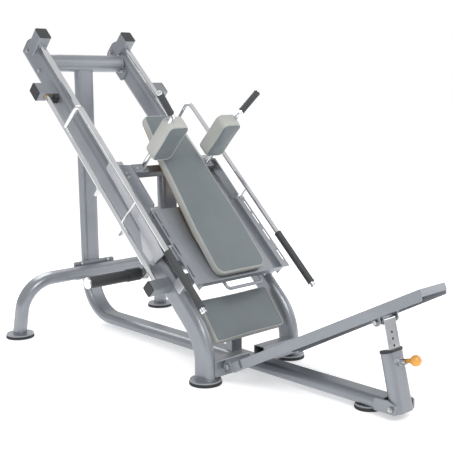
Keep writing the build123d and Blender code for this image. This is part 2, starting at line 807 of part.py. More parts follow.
with BuildPart() as strut_sleeve:
    with BuildSketch(strut_section(-24)):
        SlotOverall(tube_wide, tube_thin)
        SlotOverall(tube_wide - 2 * tube_wall, tube_thin - 2 * tube_wall, mode=Mode.SUBTRACT)
    extrude(amount=sleeve_top + 24)
    with BuildSketch(Plane(strut_foot + Vector(60, 0, 0), x_dir=(0, 1, 0), z_dir=(-1, 0, 0))):
        Circle(6 + running)
    extrude(amount=120, mode=Mode.SUBTRACT)
    with BuildSketch(strut_facing(knob_k, 15)):
        Circle(11)
    extrude(amount=20, mode=Mode.SUBTRACT)

with BuildPart() as strut_collar:
    with BuildSketch(strut_section(sleeve_top)):
        SlotOverall(tube_wide + 4, tube_thin + 4)
        Rectangle(bar_wide + 0.8, bar_thin + 0.8, mode=Mode.SUBTRACT)
    extrude(amount=10)
    fillet(strut_collar.faces().sort_by(Axis((0, 0, 0), strut_up))[-1].outer_wire().edges(), 3)

with BuildPart() as pop_pin_barrel:
    with BuildSketch(strut_facing(knob_k, 22)):
        Circle(11)
        Circle(5 + running, mode=Mode.SUBTRACT)
    extrude(amount=36)
    with BuildSketch(strut_facing(knob_k, 25)):
        RegularPolygon(15, 6)
        Circle(11, mode=Mode.SUBTRACT)
    extrude(amount=9)

with BuildPart() as strut_bar:
    with BuildSketch(strut_side(-bar_wide / 2)):
        with Locations(((78 + strut_length) / 2, 0)):
            Rectangle(strut_length - 78, bar_thin)
        with Locations((strut_length, 0)):
            Circle(bar_thin / 2)
    extrude(amount=bar_wide)
    with BuildSketch(strut_section(78)):
        Rectangle(bar_wide - 8, bar_thin - 8)
    extrude(amount=strut_length - 78 - 24, mode=Mode.SUBTRACT)
    with BuildSketch(strut_side(-bar_wide / 2)):
        with Locations((strut_length, 0)):
            Circle(11)
    extrude(amount=bar_wide, mode=Mode.SUBTRACT)
    for hole_k in range(94, int(strut_length) - 24, 25):
        with BuildSketch(strut_facing(hole_k, bar_thin / 2 + 1)):
            Circle(5.5)
        extrude(amount=-6, mode=Mode.SUBTRACT)

with BuildPart() as pop_pin:
    with BuildSketch(strut_facing(knob_k, bar_thin / 2 + 0.8)):
        Circle(5)
    extrude(amount=66)

with BuildPart() as pop_knob:
    with BuildSketch(strut_facing(knob_k, 60)):
        Circle(9)
        Circle(5, mode=Mode.SUBTRACT)
    extrude(amount=22)
    with BuildSketch(strut_side(0)):
        with BuildLine():
            CenterArc((knob_k, 100), 21, -90, 180)
            Line((knob_k, 79), (knob_k, 121))
        make_face()
    revolve(axis=Axis(strut_foot + strut_up * knob_k, strut_front))
    with BuildSketch(strut_facing(knob_k, 60)):
        Circle(5)
    extrude(amount=bar_thin / 2 + 0.8 + 66 - 60, mode=Mode.SUBTRACT)

pieces = {
    "spine": spine, "top_crossbar": top_crossbar, "rail_left": rail_left, "rail_right": rail_right,
    "rear_stabilizer": rear_stabilizer, "rubber_feet": rubber_feet, "tube_end_caps": tube_end_caps,
    "guide_rod_left": guide_rod_left, "guide_rod_right": guide_rod_right, "guide_stubs": guide_stubs,
    "guide_blocks": guide_blocks, "carriage_bumpers": carriage_bumpers,
    "upper_lever_brackets": upper_lever_brackets, "lower_lever_brackets": lower_lever_brackets,
    "lever_bushes": lever_bushes, "lever_stops": lever_stops, "leg_braces": leg_braces,
    "plate_hinge_brackets": plate_hinge_brackets,
    "plate_hinge_pins": plate_hinge_pins, "strut_clevis": strut_clevis,
    "strut_lower_pin": strut_lower_pin, "seat_pad": seat_pad, "seat_board": seat_board,
    "seat_bracket": seat_bracket, "frame_bolts": frame_bolts,
    "bearing_housing_left": bearing_housing_left, "bearing_housing_right": bearing_housing_right,
    "linear_bushes": linear_bushes, "catch_plate_left": catch_plate_left,
    "catch_plate_right": catch_plate_right, "side_plates": side_plates,
    "carriage_crossbar": carriage_crossbar,
    "carriage_post": carriage_post, "horn_bar": horn_bar, "horn_sleeves": horn_sleeves,
    "horn_caps": horn_caps, "foot_pan": foot_pan, "pan_handle": pan_handle, "back_pad": back_pad,
    "back_board": back_board, "shoulder_pad_left": shoulder_pad_left,
    "shoulder_pad_right": shoulder_pad_right, "shoulder_post_left": shoulder_post_left,
    "shoulder_post_right": shoulder_post_right, "shoulder_grips": shoulder_grips,
    "shoulder_brackets": shoulder_brackets, "carriage_bolts": carriage_bolts,
    "lever_left": lever_left, "lever_right": lever_right, "lever_grip_left": lever_grip_left,
    "lever_grip_right": lever_grip_right, "foot_plate": foot_plate, "plate_beam_cap": plate_beam_cap,
    "strut_upper_pin": strut_upper_pin, "strut_sleeve": strut_sleeve, "strut_collar": strut_collar,
    "pop_pin_barrel": pop_pin_barrel, "strut_bar": strut_bar, "pop_pin": pop_pin,
    "pop_knob": pop_knob}

for name, piece in pieces.items():
    piece.part.label = name
    export_step(piece.part, f"parts/{name}.step")
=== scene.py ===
import json
import math

import bmesh
import bpy
from mathutils import Matrix, Vector


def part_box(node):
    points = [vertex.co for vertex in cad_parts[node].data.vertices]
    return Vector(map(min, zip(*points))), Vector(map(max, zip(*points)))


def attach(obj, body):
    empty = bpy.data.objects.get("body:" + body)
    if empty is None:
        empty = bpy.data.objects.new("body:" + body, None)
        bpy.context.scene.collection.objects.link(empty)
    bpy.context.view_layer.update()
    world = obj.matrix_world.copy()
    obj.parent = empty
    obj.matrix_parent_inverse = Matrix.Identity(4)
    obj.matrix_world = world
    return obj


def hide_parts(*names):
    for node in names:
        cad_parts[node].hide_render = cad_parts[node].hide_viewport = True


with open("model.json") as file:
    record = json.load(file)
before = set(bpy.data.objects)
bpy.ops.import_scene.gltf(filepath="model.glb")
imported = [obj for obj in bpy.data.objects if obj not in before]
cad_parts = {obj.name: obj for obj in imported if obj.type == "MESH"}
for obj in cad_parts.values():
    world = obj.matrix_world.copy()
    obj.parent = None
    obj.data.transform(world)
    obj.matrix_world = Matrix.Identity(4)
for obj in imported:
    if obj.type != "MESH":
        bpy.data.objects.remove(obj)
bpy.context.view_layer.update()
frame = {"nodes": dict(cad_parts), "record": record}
nodes = frame["nodes"]
slotOf = {part["node"]: part["material_slot"] for part in frame["record"]["subparts"]}
downRails = Vector((0, -0.7157, -0.6984))
outOfRails = Vector((0, -0.6984, 0.7157))


def bodyOf(nodeName):
    for body, names in frame["record"]["behaviour"]["bodies"].items():
        if nodeName in names:
            return body


# shared shader groups

def newGroup(name, inputs, outputs):
    group = bpy.data.node_groups.new(name, "ShaderNodeTree")
    for label, default in inputs:
        socket = group.interface.new_socket(name=label, in_out="INPUT", socket_type="NodeSocketFloat")
        socket.default_value = default
    for label, kind in outputs:
        group.interface.new_socket(name=label, in_out="OUTPUT", socket_type=kind)
    return group, group.nodes.new("NodeGroupInput"), group.nodes.new("NodeGroupOutput")


def makeGrainGroup():
    # fine grain over slow blotches
    group, given, result = newGroup(
        "surfaceGrain", [("Scale", 400.0), ("Blotch Scale", 9.0), ("Detail", 6.0)],
        [("Grain", "NodeSocketFloat"), ("Blotch", "NodeSocketFloat")])
    place = group.nodes.new("ShaderNodeTexCoord")
    fine = group.nodes.new("ShaderNodeTexNoise")
    slow = group.nodes.new("ShaderNodeTexNoise")
    group.links.new(place.outputs["Object"], fine.inputs["Vector"])
    group.links.new(place.outputs["Object"], slow.inputs["Vector"])
    group.links.new(given.outputs["Scale"], fine.inputs["Scale"])
    group.links.new(given.outputs["Detail"], fine.inputs["Detail"])
    group.links.new(given.outputs["Blotch Scale"], slow.inputs["Scale"])
    slow.inputs["Detail"].default_value = 5
    group.links.new(fine.outputs["Fac"], result.inputs["Grain"])
    group.links.new(slow.outputs["Fac"], result.inputs["Blotch"])
    return group


def makeEdgeGroup():
    # rounds off corners in the shading and marks every edge for a lighter colour: partly where paint or
    # plating rubs thin, partly a painted highlight along the edges
    group, given, result = newGroup(
        "softEdges", [("Radius", 0.0015), ("WearAndHighlightAmount", 2.0)],
        [("Normal", "NodeSocketVector"), ("WearAndHighlight", "NodeSocketFloat")])
    bevel = group.nodes.new("ShaderNodeBevel")
    bevel.samples = 4
    shape = group.nodes.new("ShaderNodeNewGeometry")
    dot = group.nodes.new("ShaderNodeVectorMath")
    dot.operation = "DOT_PRODUCT"
    turn = group.nodes.new("ShaderNodeMath")
    turn.operation = "SUBTRACT"
    turn.inputs[0].default_value = 1
    patches = group.nodes.new("ShaderNodeTexNoise")
    patches.inputs["Scale"].default_value = 60
    place = group.nodes.new("ShaderNodeTexCoord")
    patchy = group.nodes.new("ShaderNodeMath")
    patchy.operation = "MULTIPLY"
    strength = group.nodes.new("ShaderNodeMath")
    strength.operation = "MULTIPLY"
    strength.use_clamp = True
    group.links.new(given.outputs["Radius"], bevel.inputs["Radius"])
    group.links.new(bevel.outputs["Normal"], dot.inputs[0])
    group.links.new(shape.outputs["Normal"], dot.inputs[1])
    group.links.new(dot.outputs["Value"], turn.inputs[1])
    group.links.new(place.outputs["Object"], patches.inputs["Vector"])
    group.links.new(turn.outputs[0], patchy.inputs[0])
    group.links.new(patches.outputs["Fac"], patchy.inputs[1])
    group.links.new(patchy.outputs[0], strength.inputs[0])
    group.links.new(given.outputs["WearAndHighlightAmount"], strength.inputs[1])
    group.links.new(bevel.outputs["Normal"], result.inputs["Normal"])
    group.links.new(strength.outputs[0], result.inputs["WearAndHighlight"])
    return group


def makeDustGroup():
    # thin dust that settles on faces turned up
    group, given, result = newGroup(
        "settledDust", [("Amount", 0.2), ("Scale", 25.0)], [("Dust", "NodeSocketFloat")])
    shape = group.nodes.new("ShaderNodeNewGeometry")
    split = group.nodes.new("ShaderNodeSeparateXYZ")
    place = group.nodes.new("ShaderNodeTexCoord")
    cloud = group.nodes.new("ShaderNodeTexNoise")
    cloud.inputs["Detail"].default_value = 8
    facing = group.nodes.new("ShaderNodeMath")
    facing.operation = "MULTIPLY"
    facing.use_clamp = True
    amount = group.nodes.new("ShaderNodeMath")
    amount.operation = "MULTIPLY"
    amount.use_clamp = True
    group.links.new(shape.outputs["Normal"], split.inputs[0])
    group.links.new(place.outputs["Object"], cloud.inputs["Vector"])
    group.links.new(given.outputs["Scale"], cloud.inputs["Scale"])
    group.links.new(split.outputs["Z"], facing.inputs[0])
    group.links.new(cloud.outputs["Fac"], facing.inputs[1])
    group.links.new(facing.outputs[0], amount.inputs[0])
    group.links.new(given.outputs["Amount"], amount.inputs[1])
    group.links.new(amount.outputs[0], result.inputs["Dust"])
    return group


grainGroup, edgeGroup, dustGroup = makeGrainGroup(), makeEdgeGroup(), makeDustGroup()
print("shader groups ready")


# finishes

def placeGroup(tree, group, values):
    node = tree.nodes.new("ShaderNodeGroup")
    node.node_tree = group
    for label, value in values.items():
        node.inputs[label].default_value = value
    return node


def mixColour(tree, factor, low, high):
    mix = tree.nodes.new("ShaderNodeMix")
    mix.data_type = "RGBA"
    tree.links.new(factor, mix.inputs["Factor"])
    for socket, value in ((mix.inputs["A"], low), (mix.inputs["B"], high)):
        if isinstance(value, tuple):
            socket.default_value = (*value, 1)
        else:
            tree.links.new(value, socket)
    return mix.outputs["Result"]


def spread(tree, factor, low, high):
    ranged = tree.nodes.new("ShaderNodeMapRange")
    ranged.inputs["From Min"].default_value = 0.3
    ranged.inputs["From Max"].default_value = 0.7
    ranged.inputs["To Min"].default_value = low
    ranged.inputs["To Max"].default_value = high
    tree.links.new(factor, ranged.inputs["Value"])
    return ranged.outputs["Result"]


def makeFinish(name, look):
    # one layered finish: two-tone colour, edges in a colour that is partly rub and partly painted
    # highlight, dust, uneven gloss and a grain in relief
    material = bpy.data.materials.new(name)
    material.use_nodes = True
    tree = material.node_tree
    shader = tree.nodes["Principled BSDF"]
    grain = placeGroup(tree, grainGroup, {"Scale": look["grain"], "Blotch Scale": look.get("blotch", 9)})
    # the rub amount sets how strongly the edges take the wear and painted highlight colour
    edges = placeGroup(tree, edgeGroup, {"Radius": look.get("edge", 0.0015), "WearAndHighlightAmount": look.get("rub", 1.0)})
    dust = placeGroup(tree, dustGroup, {"Amount": look.get("dust", 0.15)})
    body = mixColour(tree, spread(tree, grain.outputs["Blotch"], 0, 1), look["dark"], look["light"])
    flecked = mixColour(tree, spread(tree, grain.outputs["Grain"], 0, look.get("fleck", 0.2)),
                        body, look.get("fleckColour", look["light"]))
    # edge colour: partly real rub, partly a painted highlight lightening every edge
    wornAndHighlighted = mixColour(tree, edges.outputs["WearAndHighlight"], flecked, look.get("wearAndHighlight", look["light"]))
    dusty = mixColour(tree, dust.outputs["Dust"], wornAndHighlighted, (0.55, 0.54, 0.52))
    tree.links.new(dusty, shader.inputs["Base Color"])
    tree.links.new(spread(tree, grain.outputs["Blotch"], *look["roughness"]), shader.inputs["Roughness"])
    shader.inputs["Metallic"].default_value = look.get("metallic", 0)
    shader.inputs["Coat Weight"].default_value = look.get("coat", 0)
    shader.inputs["Coat Roughness"].default_value = 0.12
    shader.inputs["Sheen Weight"].default_value = look.get("sheen", 0)
    bump = tree.nodes.new("ShaderNodeBump")
    bump.inputs["Strength"].default_value = look.get("relief", 0.15)
    bump.inputs["Distance"].default_value = look.get("depth", 0.0004)
    tree.links.new(grain.outputs["Grain"], bump.inputs["Height"])
    tree.links.new(edges.outputs["Normal"], bump.inputs["Normal"])
    tree.links.new(bump.outputs["Normal"], shader.inputs["Normal"])
    return material


def makeHide(name, dark, light):
    # pressed vinyl: small pebble cells over a soft mottle
    material = makeFinish(name, {"grain": 700, "blotch": 6, "dark": dark, "light": light, "fleck": 0.25,
                                 "roughness": (0.42, 0.56), "relief": 0.1, "edge": 0.001, "rub": 0.1,
                                 "dust": 0.05, "sheen": 0.12})
    tree = material.node_tree
    place = tree.nodes.new("ShaderNodeTexCoord")
    cells = tree.nodes.new("ShaderNodeTexVoronoi")
    cells.inputs["Scale"].default_value = 520
    pebble = tree.nodes.new("ShaderNodeBump")
    pebble.inputs["Strength"].default_value = 0.35
    pebble.inputs["Distance"].default_value = 0.0005
    shader = tree.nodes["Principled BSDF"]
    under = shader.inputs["Normal"].links[0].from_socket
    tree.links.new(place.outputs["Object"], cells.inputs["Vector"])
    tree.links.new(cells.outputs["Distance"], pebble.inputs["Height"])
    tree.links.new(under, pebble.inputs["Normal"])
    tree.links.new(pebble.outputs["Normal"], shader.inputs["Normal"])
    return material


def makeBirch(name):
    # ply board: stretched rings along the board
    material = makeFinish(name, {"grain": 300, "dark": (0.30, 0.19, 0.10), "light": (0.46, 0.32, 0.18),
                                 "roughness": (0.45, 0.6), "relief": 0.3})
    tree = material.node_tree
    place = tree.nodes.new("ShaderNodeTexCoord")
    stretch = tree.nodes.new("ShaderNodeMapping")
    stretch.inputs["Scale"].default_value = (14, 2, 2)
    rings = tree.nodes.new("ShaderNodeTexWave")
    rings.inputs["Scale"].default_value = 2
    rings.inputs["Distortion"].default_value = 7
    tree.links.new(place.outputs["Object"], stretch.inputs["Vector"])
    tree.links.new(stretch.outputs["Vector"], rings.inputs["Vector"])
    shader = tree.nodes["Principled BSDF"]
    under = shader.inputs["Base Color"].links[0].from_socket
    tree.links.new(mixColour(tree, rings.outputs["Fac"], under, (0.36, 0.23, 0.12)),
                   shader.inputs["Base Color"])
    return material


# each finish's edge colour is laid on its edges as wear and as a painted highlight
finishes = {
    "frame_paint": makeFinish("silverPaint", {
        "grain": 1400, "blotch": 5, "dark": (0.205, 0.221, 0.246), "light": (0.27, 0.288, 0.315),
        "fleck": 0.4,
        "fleckColour": (0.39, 0.41, 0.44), "roughness": (0.30, 0.42), "metallic": 0.55, "coat": 0.35,
        "relief": 0.08, "depth": 0.0002, "wearAndHighlight": (0.55, 0.56, 0.58), "rub": 1.2}),
    "dark_paint": makeFinish("graphitePaint", {
        "grain": 1200, "dark": (0.085, 0.088, 0.095), "light": (0.13, 0.135, 0.145), "fleck": 0.35,
        "fleckColour": (0.25, 0.26, 0.27), "roughness": (0.36, 0.5), "metallic": 0.4, "coat": 0.2,
        "relief": 0.1, "depth": 0.0002, "wearAndHighlight": (0.4, 0.4, 0.42)}),
    "chrome": makeFinish("brightChrome", {
        "grain": 900, "dark": (0.74, 0.75, 0.77), "light": (0.86, 0.87, 0.88), "roughness": (0.07, 0.16),
        "metallic": 1.0, "relief": 0.03, "depth": 0.0001, "wearAndHighlight": (0.7, 0.69, 0.66), "dust": 0.06}),
    "zinc": makeFinish("zincPlate", {
        "grain": 800, "dark": (0.44, 0.45, 0.46), "light": (0.62, 0.63, 0.62), "roughness": (0.25, 0.42),
        "metallic": 1.0, "relief": 0.12, "wearAndHighlight": (0.75, 0.75, 0.74), "rub": 2.0}),
    "rubber": makeFinish("blackRubber", {
        "grain": 600, "dark": (0.016, 0.017, 0.018), "light": (0.03, 0.031, 0.033), "roughness": (0.6, 0.8),
        "relief": 0.35, "wearAndHighlight": (0.09, 0.09, 0.09), "dust": 0.1}),
    "black_plastic": makeFinish("blackPlastic", {
        "grain": 900, "dark": (0.017, 0.018, 0.02), "light": (0.028, 0.03, 0.033),
        "roughness": (0.38, 0.55), "relief": 0.2, "wearAndHighlight": (0.11, 0.11, 0.11), "dust": 0.08}),
    "pad_vinyl": makeHide("greyVinyl", (0.125, 0.152, 0.162), (0.155, 0.182, 0.193)),
    "pad_wall": makeHide("paleVinyl", (0.40, 0.41, 0.385), (0.47, 0.475, 0.45)),
    "plywood": makeBirch("birchPly"),
    "grip_foam": makeFinish("gripRubber", {
        "grain": 500, "dark": (0.03, 0.033, 0.037), "light": (0.05, 0.054, 0.058),
        "roughness": (0.55, 0.75), "relief": 0.5, "wearAndHighlight": (0.1, 0.1, 0.1), "dust": 0.1}),
    "knob_orange": makeFinish("amberKnob", {
        "grain": 300, "dark": (0.62, 0.27, 0.03), "light": (0.76, 0.36, 0.05), "fleck": 0.1,
        "roughness": (0.2, 0.34), "coat": 0.5, "relief": 0.04, "wearAndHighlight": (0.8, 0.5, 0.2)}),
    "bronze": makeFinish("oiledBronze", {
        "grain": 700, "dark": (0.34, 0.22, 0.10), "light": (0.5, 0.35, 0.18), "roughness": (0.28, 0.45),
        "metallic": 1.0, "relief": 0.1}),
    "alloy": makeFinish("castAlloy", {
        "grain": 650, "dark": (0.48, 0.49, 0.52), "light": (0.60, 0.61, 0.64), "roughness": (0.32, 0.46),
        "metallic": 0.7, "relief": 0.15, "wearAndHighlight": (0.8, 0.8, 0.82)}),
}

for nodeName, cadPiece in nodes.items():
    for place in cadPiece.material_slots:
        place.material = finishes[slotOf[nodeName]]
print("finishes placed on", len(nodes), "nodes")


# making helpers

def linkMesh(name, bm, body, slot, smooth=True):
    mesh = bpy.data.meshes.new(name)
    bmesh.ops.recalc_face_normals(bm, faces=bm.faces)
    bm.to_mesh(mesh)
    bm.free()
    piece = bpy.data.objects.new(name, mesh)
    bpy.context.collection.objects.link(piece)
    mesh.materials.append(finishes[slot])
    if smooth:
        mesh.polygons.foreach_set("use_smooth", [True] * len(mesh.polygons))
    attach(piece, body)
    return piece


def turned(name, start, way, profile, body, slot, segments=40):
    # lathe work: profile is (distance along the axis, radius), closed on the axis at both ends
    way = way.normalized()
    across = way.orthogonal().normalized()
    other = way.cross(across)
    bm = bmesh.new()
    rings = []
    for along, radius in profile:
        ring = []
        for step in range(segments):
            turn = 2 * math.pi * step / segments
            ring.append(bm.verts.new(start + way * along
                                     + (across * math.cos(turn) + other * math.sin(turn)) * radius))
        rings.append(ring)
    for low, high in zip(rings, rings[1:]):
        for step in range(segments):
            after = (step + 1) % segments
            bm.faces.new((low[step], low[after], high[after], high[step]))
    bm.faces.new(rings[0])
    bm.faces.new(rings[-1])
    return linkMesh(name, bm, body, slot)


def bead(name, points, radius, body, slot, closed=True):
    # round bead along a line of points: weld, welt or cord of glue
    curve = bpy.data.curves.new(name, "CURVE")
    curve.dimensions = "3D"
    curve.bevel_depth = radius
    curve.bevel_resolution = 2
    line = curve.splines.new("POLY")
    line.points.add(len(points) - 1)
    for point, where in zip(line.points, points):
        point.co = (*where, 1)
    line.use_cyclic_u = closed
    piece = bpy.data.objects.new(name, curve)
    bpy.context.collection.objects.link(piece)
    curve.materials.append(finishes[slot])
    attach(piece, body)
    return piece


def nodeVerts(nodeName, side=0):
    verts = [vert.co.copy() for vert in nodes[nodeName].data.vertices]
    if side:
        verts = [vert for vert in verts if vert.x * side > 0]
    return verts


# pads

padWork = {
    "back_pad": {"front": Vector((0, -0.70, 0.71)), "cells": 30, "swell": 0.010, "crown": 0.006},
    "seat_pad": {"front": Vector((0, -0.79, 0.61)), "cells": 22, "swell": 0.008, "crown": 0.004},
    "shoulder_pad_left": {"front": downRails, "cells": 16, "swell": 0.006, "crown": 0.004},
    "shoulder_pad_right": {"front": downRails, "cells": 16, "swell": 0.006, "crown": 0.004},
}
# the welt radius sizes the pale bead laid along each pad's seam edge as a painted highlight
padCloth = {"pressure": 4.0, "frames": 20, "seamInset": 0.005, "seamHold": 0.5,
            "highlightWeltRadius": 0.0016}


def faceNormal(nodeName, hint):
    # the broad face's own normal, weighed by area among faces near the hint
    total = Vector((0, 0, 0))
    for polygon in nodes[nodeName].data.polygons:
        if polygon.normal.dot(hint.normalized()) > 0.985:
            total += polygon.normal * polygon.area
    return total.normalized()


def hullOf(points):
    points = sorted(set((round(a, 5), round(b, 5)) for a, b in points))

    def half(run):
        chain = []
        for point in run:
            while len(chain) > 1 and ((chain[-1][0] - chain[-2][0]) * (point[1] - chain[-2][1])
                                      - (chain[-1][1] - chain[-2][1]) * (point[0] - chain[-2][0])) <= 0:
                chain.pop()
            chain.append(point)
        return chain[:-1]
    return half(points) + half(points[::-1])


def walk(line, count):
    # count + 1 evenly spaced points along an open line
    lengths = [0]
    for before, after in zip(line, line[1:]):
        lengths.append(lengths[-1] + (after - before).length)
    found = []
    span = 0
    for step in range(count + 1):
        want = lengths[-1] * step / count
        while span < len(line) - 2 and lengths[span + 1] < want:
            span += 1
        gap = lengths[span + 1] - lengths[span]
        found.append(line[span].lerp(line[span + 1], (want - lengths[span]) / gap if gap else 0))
    return found


def outlineSides(hull, count):
    # the outline in four stretches between the points nearest its box's corners
    low = Vector((min(p.x for p in hull), min(p.y for p in hull)))
    high = Vector((max(p.x for p in hull), max(p.y for p in hull)))
    corners = [low, Vector((high.x, low.y)), high, Vector((low.x, high.y))]
    marks = [min(range(len(hull)), key=lambda i: (hull[i] - corner).length) for corner in corners]
    sides = []
    for this, following in zip(marks, marks[1:] + marks[:1]):
        steps = (following - this) % len(hull)
        sides.append(walk([hull[(this + step) % len(hull)] for step in range(steps + 1)], count))
    return sides


def gridPlan(cells):
    # square grid seen as rings: for each point, its ring, side and place along the side
    plan = {}
    for column in range(-cells, cells + 1):
        for row in range(-cells, cells + 1):
            ring = max(abs(column), abs(row))
            if ring == 0:
                plan[column, row] = (0, 0, 0)
            elif row == -ring and column < ring:
                plan[column, row] = (ring, 0, (column + ring) / (2 * ring))
            elif column == ring and row < ring:
                plan[column, row] = (ring, 1, (row + ring) / (2 * ring))
            elif row == ring and column > -ring:
                plan[column, row] = (ring, 2, (ring - column) / (2 * ring))
            else:
                plan[column, row] = (ring, 3, (ring - row) / (2 * ring))
    return plan


def padMesh(nodeName, work):
    normal = faceNormal(nodeName, work["front"])
    across = Vector((1, 0, 0))
    along = normal.cross(across).normalized()
    verts = nodeVerts(nodeName)
    deep = [vert.dot(normal) for vert in verts]
    back, thick = min(deep), max(deep) - min(deep)
    hull = [Vector(p) for p in hullOf([(v.dot(across), v.dot(along)) for v in verts])]
    cells = work["cells"]
    sides = outlineSides(hull, 2 * cells)
    middle = sum((p for side in sides for p in side), Vector((0, 0))) / sum(len(side) for side in sides)
    bm = bmesh.new()

    def at(flat, height):
        return bm.verts.new(across * flat.x + along * flat.y + normal * (back + height))

    def onOutline(side, place):
        exact = place * 2 * cells
        first = min(int(exact), 2 * cells - 1)
        return sides[side][first].lerp(sides[side][first + 1], exact - first)

    def inset(flat, amount):
        return flat + (middle - flat).normalized() * amount

    plan = gridPlan(cells)
    sheets = []
    for height, pull, crown in ((thick - 0.001, padCloth["seamInset"], work["crown"]), (0, 0.002, 0)):
        sheetVerts = {}
        for key, (ring, side, place) in plan.items():
            edge = inset(onOutline(side, place), pull)
            share = ring / cells
            sheetVerts[key] = at(middle.lerp(edge, share), height + crown * (1 - share ** 4))
        sheets.append(sheetVerts)
    rim = [key for key in plan if plan[key][0] == cells]
    rim.sort(key=lambda key: plan[key][1] + plan[key][2])
    walls = [[sheets[0][key] for key in rim]]
    for share in (0.86, 0.62, 0.38, 0.12):
        walls.append([at(onOutline(plan[key][1], plan[key][2]), thick * share) for key in rim])
    walls.append([sheets[1][key] for key in rim])
    for sheetVerts in sheets:
        for column in range(-cells, cells):
            for row in range(-cells, cells):
                bm.faces.new((sheetVerts[column, row], sheetVerts[column + 1, row],
                              sheetVerts[column + 1, row + 1], sheetVerts[column, row + 1]))
    frontCount = len(bm.faces) // 2
    for upper, lower in zip(walls, walls[1:]):
        for step in range(len(rim)):
            after = (step + 1) % len(rim)
            bm.faces.new((upper[step], upper[after], lower[after], lower[step]))
    bm.verts.index_update()
    bm.faces.index_update()
    seam = [vert.index for vert in walls[0]]
    held = [vert.index for vert in sheets[1].values()]
    for face in bm.faces:
        face.material_index = 0 if face.index < frontCount else 1
    return bm, seam, held


def stuff(pad, seam, held, work):
    # air pressure swells the cover; its back stays on the board and its seam is half held by the welt
    rest = [vert.co.copy() for vert in pad.data.vertices]
    group = pad.vertex_groups.new(name="board")
    group.add(held, 1.0, "REPLACE")
    group.add(seam, padCloth["seamHold"], "REPLACE")
    cloth = pad.modifiers.new("cover", "CLOTH")
    cloth.settings.vertex_group_mass = "board"
    cloth.settings.use_pressure = True
    cloth.settings.uniform_pressure_force = padCloth["pressure"]
    cloth.settings.tension_stiffness = 25
    cloth.settings.compression_stiffness = 25
    cloth.settings.bending_stiffness = 2
    cloth.settings.quality = 6
    cloth.settings.mass = 0.3
    cloth.settings.effector_weights.gravity = 0
    cloth.point_cache.frame_end = padCloth["frames"]
    scene = bpy.context.scene
    for step in range(1, padCloth["frames"] + 1):
        scene.frame_set(step)
    shaped = pad.evaluated_get(bpy.context.evaluated_depsgraph_get())
    moved = [vert.co.copy() for vert in shaped.data.vertices]
    pad.modifiers.remove(cloth)
    scene.frame_set(1)
    for vert, before, after in zip(pad.data.vertices, rest, moved):
        step = after - before
        if step.length > work["swell"]:
            step *= work["swell"] / step.length
        vert.co = before + step
    pad.data.update()


for nodeName, work in padWork.items():
    bm, seam, held = padMesh(nodeName, work)
    pad = linkMesh(nodeName + "_cover", bm, bodyOf(nodeName), "pad_vinyl")
    pad.data.materials.append(finishes["pad_wall"])
    stuff(pad, seam, held, work)
    # a welt in the wall vinyl along the seam; its pale line is a painted highlight on the rounded edge
    highlightWelt = [pad.data.vertices[index].co.copy() for index in seam]
    bead(nodeName + "_highlight_welt", highlightWelt, padCloth["highlightWeltRadius"], bodyOf(nodeName), "pad_wall")
    rounder = pad.modifiers.new("round", "SUBSURF")
    rounder.levels = rounder.render_levels = 1
    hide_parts(nodeName)
    print("pad made:", nodeName)


# grips, tips and knob

gripWork = {"ribEvery": 0.0055, "ribDepth": 0.0007, "collar": 0.0022}


def ribbedGrip(name, nodeName, body, way, verts):
    way = way.normalized()
    spans = [vert.dot(way) for vert in verts]
    middle = sum(verts, Vector()) / len(verts)
    foot = middle + way * (min(spans) - middle.dot(way))
    length = max(spans) - min(spans)
    radius = max(((vert - foot) - way * (vert - foot).dot(way)).length for vert in verts)
    profile = [(0, radius * 0.72), (0.0005, radius - 0.001), (0.002, radius), (0.006, radius)]
    place = 0.008
    while place < length - 0.01:
        profile.append((place, radius - gripWork["ribDepth"] * 2))
        profile.append((place + gripWork["ribEvery"] * 0.35, radius - gripWork["ribDepth"]))
        profile.append((place + gripWork["ribEvery"] * 0.7, radius - gripWork["ribDepth"]))
        place += gripWork["ribEvery"]
    profile += [(length - 0.006, radius), (length - 0.002, radius), (length, radius * 0.72)]
    grip = turned(name, foot, way, profile, body, "grip_foam")
    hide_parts(nodeName)
    return foot, length, radius


def tipCap(name, where, way, radius, body):
    profile = [(0, radius * 0.8), (0, radius), (radius * 0.35, radius), (radius * 0.55, radius * 0.93),
               (radius * 0.68, radius * 0.74), (radius * 0.74, radius * 0.4), (radius * 0.76, 0.0008)]
    return turned(name, where, way, profile, body, "chrome")


for side, sign in (("left", -1), ("right", 1)):
    nodeName = "lever_grip_" + side
    body = bodyOf(nodeName)
    foot, length, radius = ribbedGrip(nodeName + "_ribbed", nodeName, body, downRails, nodeVerts(nodeName))
    tipCap("lever_tip_" + side, foot + downRails * (length + 0.0135), downRails, 0.0125, body)
    verts = nodeVerts("shoulder_grips", sign)
    tilt = Vector((sign * 0.091, 0, 0)) + downRails * -0.047 + outOfRails * 0.091
    ribbedGrip("shoulder_grip_" + side, "shoulder_grips", "carriage", tilt, verts)
print("grips turned")

